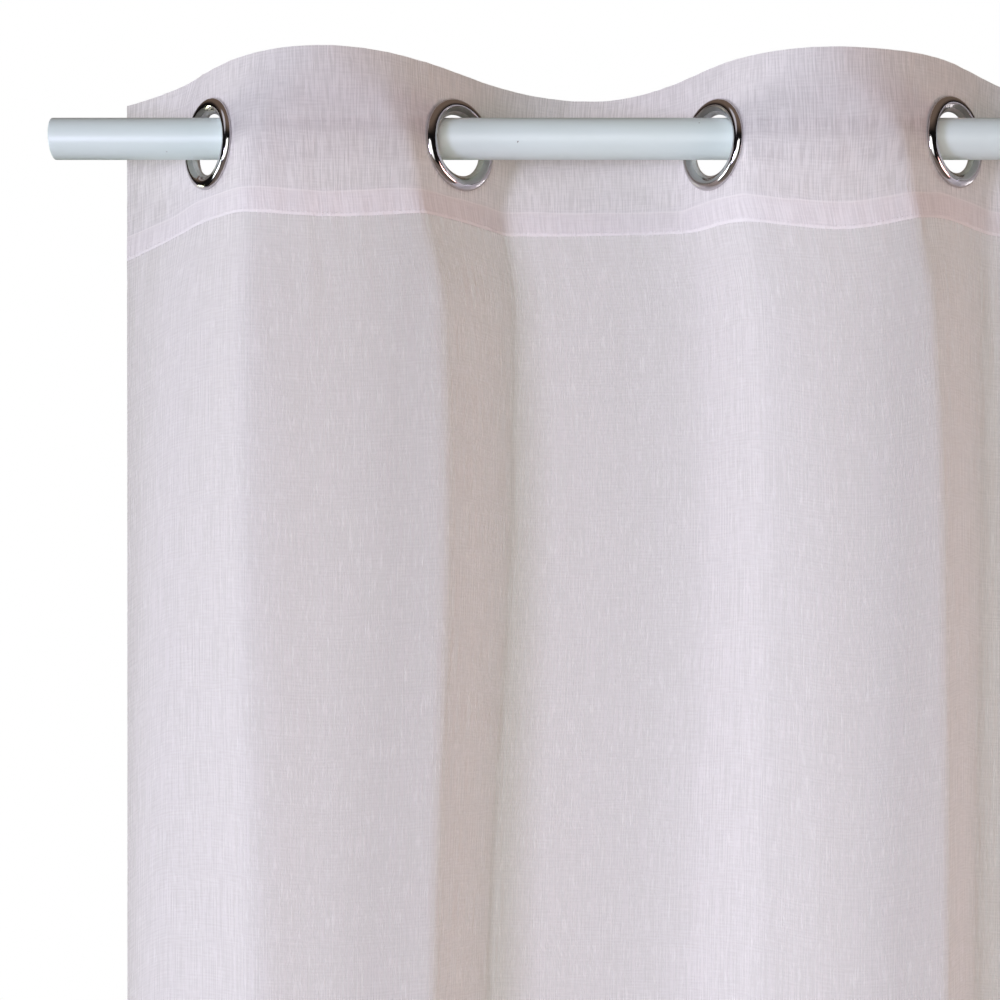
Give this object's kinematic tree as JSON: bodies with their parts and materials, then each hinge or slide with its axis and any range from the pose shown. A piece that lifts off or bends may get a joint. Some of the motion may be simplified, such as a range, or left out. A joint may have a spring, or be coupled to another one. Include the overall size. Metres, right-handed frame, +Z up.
{
  "type": "eyelet voile curtain on a rod",
  "caption": "Sheer voile curtain whose doubled heading hangs in soft folds from a plain round rod by polished metal eyelets.",
  "frame": {"origin": "the middle of the rod's axis, where the wall's brackets hold it up", "axes": "+X along the rod, -Y towards the room, +Z up"},
  "size_m": [1.273, 0.1076, 2.418],
  "materials": {
    "voile": "sheer slubbed voile, matte",
    "doubled_voile": "two layers of slubbed voile, matte",
    "eyelet_metal": "polished, slightly smoky",
    "rod_enamel": "satin pale enamel"
  },
  "bodies": {
    "root": {"panel": "voile", "heading": "doubled_voile", "eyelet_1": "eyelet_metal", "eyelet_2": "eyelet_metal", "eyelet_3": "eyelet_metal", "eyelet_4": "eyelet_metal", "eyelet_5": "eyelet_metal", "eyelet_6": "eyelet_metal", "eyelet_7": "eyelet_metal", "eyelet_8": "eyelet_metal", "rod": "rod_enamel"}
  },
  "joints": []
}
